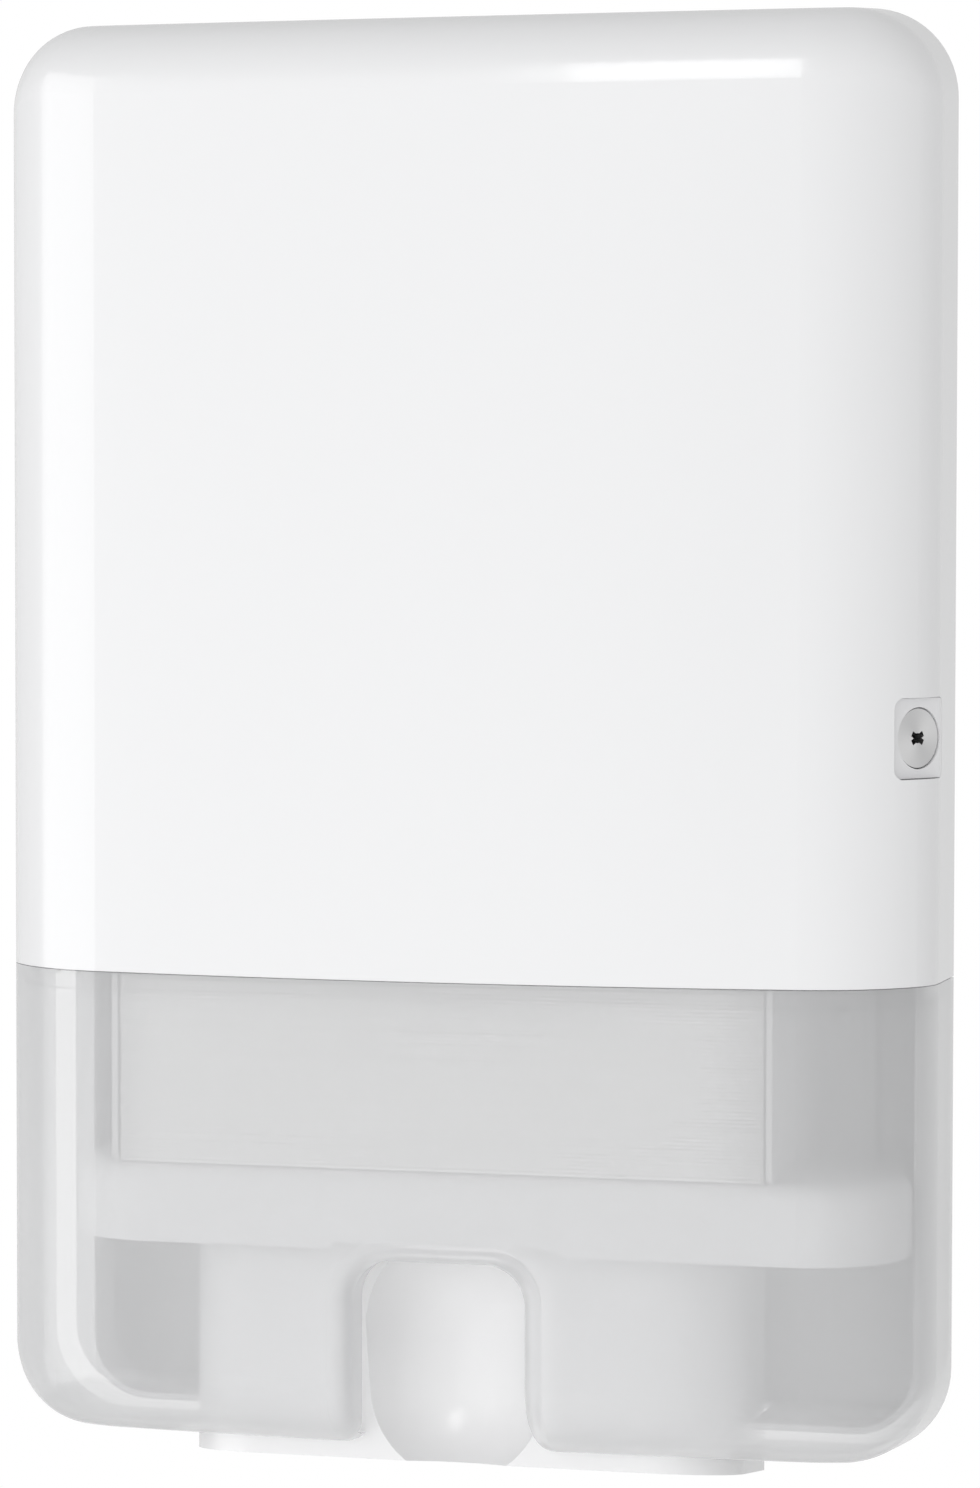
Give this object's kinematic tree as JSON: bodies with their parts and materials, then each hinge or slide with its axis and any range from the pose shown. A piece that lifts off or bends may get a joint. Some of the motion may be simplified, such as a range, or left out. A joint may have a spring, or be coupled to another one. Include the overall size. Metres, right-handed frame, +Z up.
{
  "type": "wall dispenser for folded paper towels",
  "caption": "Wall dispenser for folded paper towels: a side-hinged, key-locked cover in opaque white and clear plastic over a back plate with guides, a tray and a throat for pulling towels.",
  "frame": {"origin": "centre of the four wall screws, on the rear face of the back plate, at half the height of the cover", "axes": "+X to the right seen from the front, +Y into the wall, +Z up"},
  "size_m": [0.288, 0.102, 0.445],
  "materials": {
    "cover_white": "smooth moulded gloss, opaque white",
    "window_clear": "smooth translucent smoke-white",
    "body_grey": "fine matt moulding",
    "tray_light": "satin moulding",
    "nozzle_white": "smooth moulded gloss",
    "paper": "uncoated tissue paper",
    "lip_rubber": "soft matt",
    "zinc_steel": "bright zinc plate",
    "pin_steel": "ground",
    "bush_plastic": "natural acetal",
    "bezel_white": "smooth moulded gloss",
    "lock_nickel": "satin nickel face",
    "lock_zinc": "die-cast zinc"
  },
  "bodies": {
    "frame": {"back_plate": "body_grey", "left_guide": "body_grey", "right_guide": "body_grey", "guide_screws": "zinc_steel", "dispensing_tray": "tray_light", "tray_screws": "zinc_steel", "dispensing_nozzle": "nozzle_white", "nozzle_screws": "zinc_steel", "nozzle_lip_front": "lip_rubber", "nozzle_lip_rear": "lip_rubber", "strike_plate": "zinc_steel", "strike_screws": "zinc_steel", "hinge_pin_upper": "pin_steel", "hinge_pin_lower": "pin_steel", "towel_stack": "paper"},
    "cover": {"cover_shell": "cover_white", "cover_window": "window_clear", "hinge_bracket_upper": "zinc_steel", "hinge_bracket_lower": "zinc_steel", "hinge_bushes": "bush_plastic", "hinge_screws": "zinc_steel", "lock_bezel": "bezel_white", "lock_housing": "lock_zinc", "lock_nut": "zinc_steel"},
    "lock": {"lock_plug": "lock_nickel", "lock_cam": "zinc_steel", "cam_screw": "zinc_steel"}
  },
  "joints": [
    {"name": "cover_hinge", "type": "hinge", "parent": "frame", "child": "cover", "pos_m": [-0.137, -0.045, 0], "axis": [0, 0, -1], "range_deg": [0, 90]},
    {"name": "lock_turn", "type": "hinge", "parent": "cover", "child": "lock", "pos_m": [0.13918, -0.07156, 0.0008], "axis": [-0.848, 0.5299, 0], "range_deg": [0, 90]}
  ]
}
